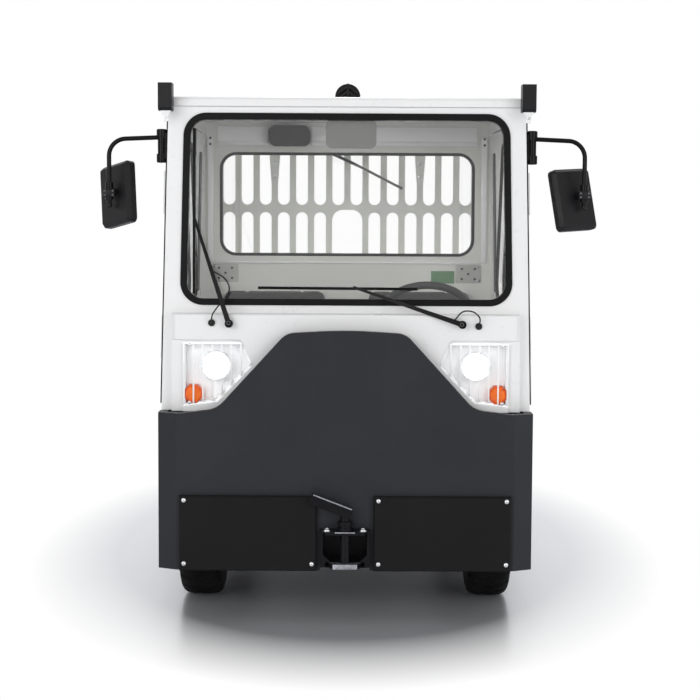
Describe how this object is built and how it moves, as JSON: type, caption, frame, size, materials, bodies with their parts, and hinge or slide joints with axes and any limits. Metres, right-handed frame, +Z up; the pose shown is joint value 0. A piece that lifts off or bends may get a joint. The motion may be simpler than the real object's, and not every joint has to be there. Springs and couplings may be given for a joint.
{
  "type": "airport baggage tug",
  "caption": "Electric airport baggage tug: two-seat cab over a bell-shaped bumper plate, opening doors, steered front wheels, battery body with lid, front and rear tow hitches.",
  "frame": {"origin": "ground level under the middle of the machine", "axes": "+Z up, the tug faces -Y, +X is its left side"},
  "size_m": [1.7642, 3.1266, 1.9485],
  "materials": {
    "amber_lens": "amber lens",
    "arm_black": "black coated steel",
    "battery_case": "grey steel trough",
    "bright_steel": "plain steel",
    "bumper_paint": "anthracite textured paint",
    "cab_inner": "dark grey paint",
    "cab_plastic": "grained black plastic",
    "cab_white": "gloss white paint",
    "frame_steel": "semi-matt black chassis paint",
    "guard_grey": "light grey powder coat",
    "hitch_steel": "black paint worn to steel",
    "hose_rubber": "black hose",
    "lamp_cover": "clear fluted polycarbonate",
    "lamp_reflector": "reflector with clear lens",
    "mirror_plastic": "moulded black plastic",
    "pad_rubber": "moulded black rubber",
    "red_lens": "red lens",
    "rim_paint": "silver grey paint",
    "seat_vinyl": "black grained vinyl",
    "tyre_rubber": "black tyre rubber",
    "window_glass": "clear laminated glass",
    "window_rubber": "black window rubber"
  },
  "bodies": {
    "chassis": {"battery": "battery_case", "body_sides": "bumper_paint", "bumper_pads": "pad_rubber", "cab_floor": "cab_inner", "cab_front": "cab_white", "cab_glass": "window_glass", "cab_rear": "cab_white", "cab_sides": "cab_white", "corner_housings": "mirror_plastic", "dashboard": "cab_plastic", "frame_rails": "frame_steel", "front_axle": "frame_steel", "front_bumper": "bumper_paint", "front_hitch": "hitch_steel", "guard_grille": "guard_grey", "guard_stays": "guard_grey", "headlamps": "lamp_reflector", "hitch_lever": "hitch_steel", "indicators": "amber_lens", "interior_mirror": "cab_plastic", "lamp_covers": "lamp_cover", "mirror_arms": "arm_black", "mirror_heads": "mirror_plastic", "pedals": "cab_plastic", "rear_axle": "frame_steel", "rear_body": "bumper_paint", "rear_bumper": "bumper_paint", "rear_hitch": "hitch_steel", "rear_lamps": "red_lens", "roof": "cab_white", "seat_backs": "seat_vinyl", "seat_base": "cab_inner", "seat_cushions": "seat_vinyl", "side_plates": "bumper_paint", "washer_hoses": "hose_rubber", "window_seals": "window_rubber", "wiper_motor": "cab_plastic", "wipers": "arm_black", "work_lamp": "mirror_plastic"},
    "door_left": {"door_left": "cab_white", "door_glass_left": "window_glass"},
    "door_right": {"door_right": "cab_white", "door_glass_right": "window_glass"},
    "battery_lid": {"battery_lid": "bumper_paint"},
    "knuckle_left": {"knuckle_left": "frame_steel"},
    "knuckle_right": {"knuckle_right": "frame_steel"},
    "tie_rod": {"tie_rod": "bright_steel"},
    "steering_wheel": {"steering_wheel": "cab_plastic"},
    "wheel_front_left": {"tyre_front_left": "tyre_rubber", "rim_front_left": "rim_paint"},
    "wheel_front_right": {"tyre_front_right": "tyre_rubber", "rim_front_right": "rim_paint"},
    "wheel_rear_left": {"tyre_rear_left": "tyre_rubber", "rim_rear_left": "rim_paint"},
    "wheel_rear_right": {"tyre_rear_right": "tyre_rubber", "rim_rear_right": "rim_paint"}
  },
  "joints": [
    {"name": "steer_left", "type": "hinge", "parent": "chassis", "child": "knuckle_left", "pos_m": [0.4, -1.02, 0.27], "axis": [0, 0, 1], "range_deg": [-35, 35]},
    {"name": "steer_right", "type": "hinge", "parent": "chassis", "child": "knuckle_right", "pos_m": [-0.4, -1.02, 0.27], "axis": [0, 0, 1], "range_deg": [-35, 35]},
    {"name": "tie_rod_pivot", "type": "hinge", "parent": "knuckle_left", "child": "tie_rod", "pos_m": [0.4, -0.89, 0.1914], "axis": [0, 0, 1], "range_deg": [-35, 35]},
    {"name": "steering_wheel_turn", "type": "hinge", "parent": "chassis", "child": "steering_wheel", "pos_m": [0.295, -1.03, 1.044], "axis": [0, 0.7071, 0.7071], "range_deg": [-350, 350]},
    {"name": "spin_front_left", "type": "hinge", "parent": "knuckle_left", "child": "wheel_front_left", "pos_m": [0.526, -1.02, 0.27], "axis": [1, 0, 0], "continuous": true},
    {"name": "spin_front_right", "type": "hinge", "parent": "knuckle_right", "child": "wheel_front_right", "pos_m": [-0.526, -1.02, 0.27], "axis": [1, 0, 0], "continuous": true},
    {"name": "spin_rear_left", "type": "hinge", "parent": "chassis", "child": "wheel_rear_left", "pos_m": [0.525, 0.63, 0.335], "axis": [1, 0, 0], "continuous": true},
    {"name": "spin_rear_right", "type": "hinge", "parent": "chassis", "child": "wheel_rear_right", "pos_m": [-0.525, 0.63, 0.335], "axis": [1, 0, 0], "continuous": true},
    {"name": "door_left_hinge", "type": "hinge", "parent": "chassis", "child": "door_left", "pos_m": [0.64514, -1.273, 1.2311], "axis": [0.0217, 0, -0.9998], "range_deg": [0, 75]},
    {"name": "door_right_hinge", "type": "hinge", "parent": "chassis", "child": "door_right", "pos_m": [-0.64514, -1.273, 1.2311], "axis": [0.0217, 0, 0.9998], "range_deg": [0, 75]},
    {"name": "battery_lid_hinge", "type": "hinge", "parent": "chassis", "child": "battery_lid", "pos_m": [0, -0.02, 0.7803], "axis": [1, 0, 0], "range_deg": [0, 70]}
  ],
  "couplings": [
    {"joint": "steer_right", "follows": "steer_left", "ratio": 1},
    {"joint": "tie_rod_pivot", "follows": "steer_left", "ratio": -1},
    {"joint": "steering_wheel_turn", "follows": "steer_left", "ratio": 10}
  ]
}
